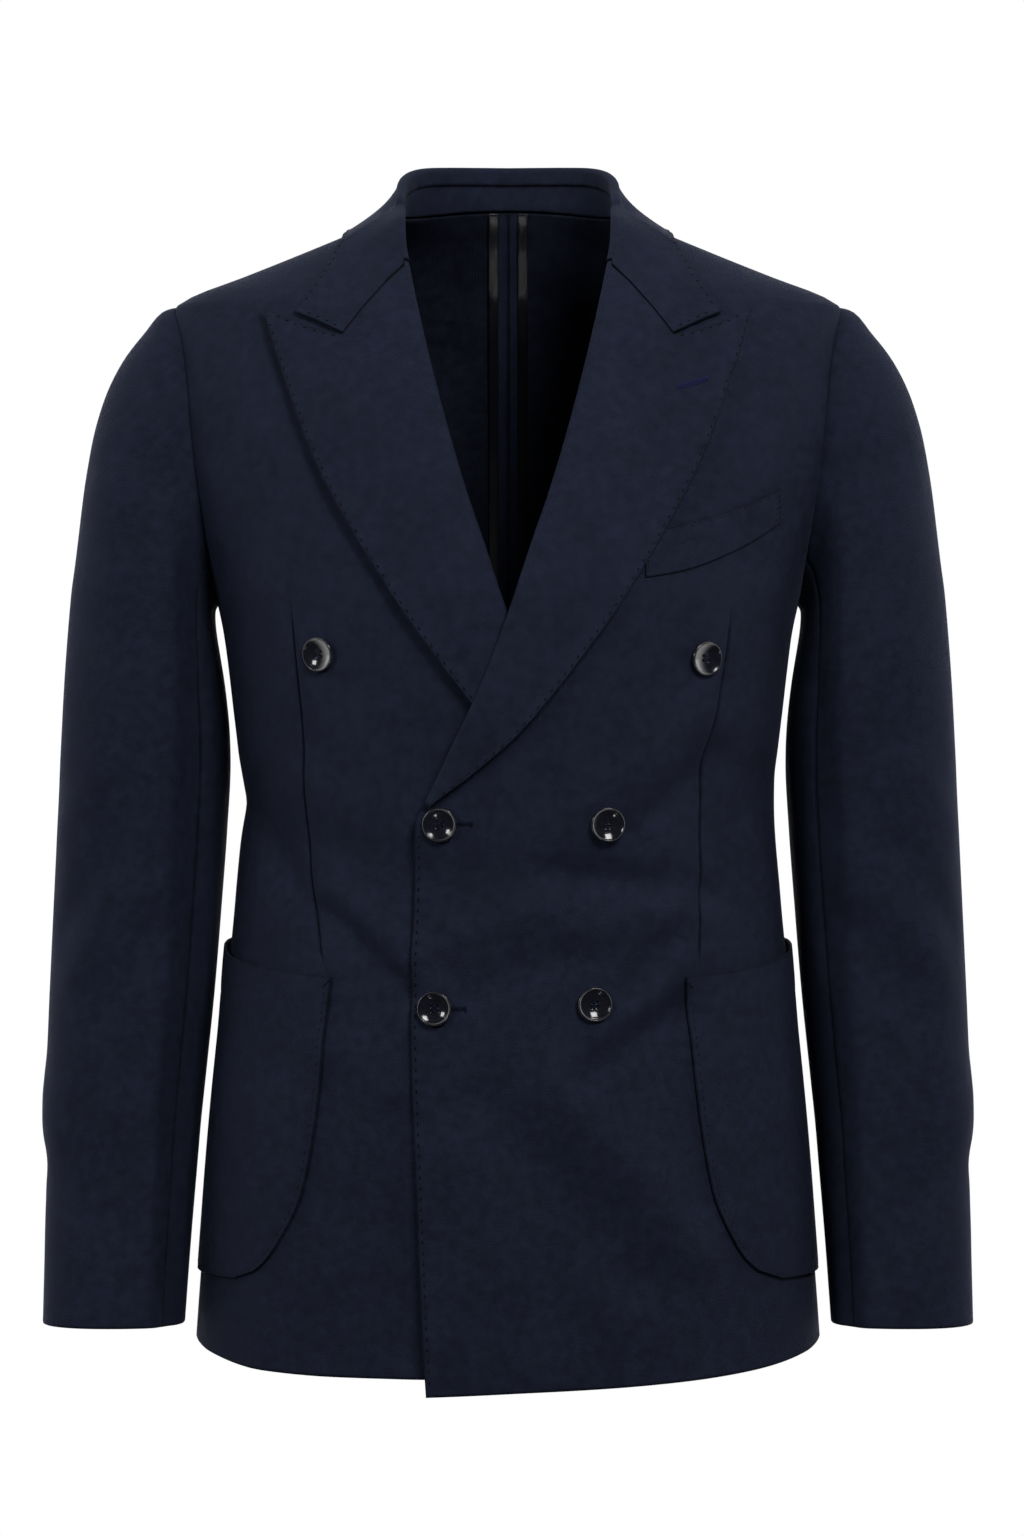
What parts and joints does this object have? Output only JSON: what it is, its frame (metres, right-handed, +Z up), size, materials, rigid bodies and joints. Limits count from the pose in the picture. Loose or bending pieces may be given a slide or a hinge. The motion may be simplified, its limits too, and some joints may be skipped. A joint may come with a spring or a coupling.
{
  "type": "double-breasted blazer",
  "caption": "Double-breasted tailored blazer in plain navy cloth, with wide peak lapels, patch pockets, a breast welt and glossy buttons, filled out as worn and hollow.",
  "frame": {"origin": "the middle of the neck opening, level with the shoulder seams' inner ends, where the garment hangs round the wearer's neck", "axes": "+Z up; the front faces -Y; +X is the wearer's left, whose front lies on top"},
  "size_m": [0.5848, 0.2692, 0.7668],
  "materials": {
    "navy_cloth": "matt, finely woven",
    "satin_tape": "satin",
    "navy_button": "polished"
  },
  "bodies": {
    "root": {"front_left": "navy_cloth", "back_left": "navy_cloth", "sleeve_top_left": "navy_cloth", "sleeve_under_left": "navy_cloth", "lapel_left": "navy_cloth", "patch_pocket_left": "navy_cloth", "seam_allowance_left": "navy_cloth", "seam_binding_left": "satin_tape", "front_right": "navy_cloth", "back_right": "navy_cloth", "sleeve_top_right": "navy_cloth", "sleeve_under_right": "navy_cloth", "lapel_right": "navy_cloth", "patch_pocket_right": "navy_cloth", "seam_allowance_right": "navy_cloth", "seam_binding_right": "satin_tape", "collar_fall": "navy_cloth", "collar_stand": "navy_cloth", "breast_welt": "navy_cloth", "button_upper_right": "navy_button", "button_upper_left": "navy_button", "button_middle_fastened": "navy_button", "button_middle_left": "navy_button", "button_lower_fastened": "navy_button", "button_lower_left": "navy_button"}
  },
  "joints": []
}
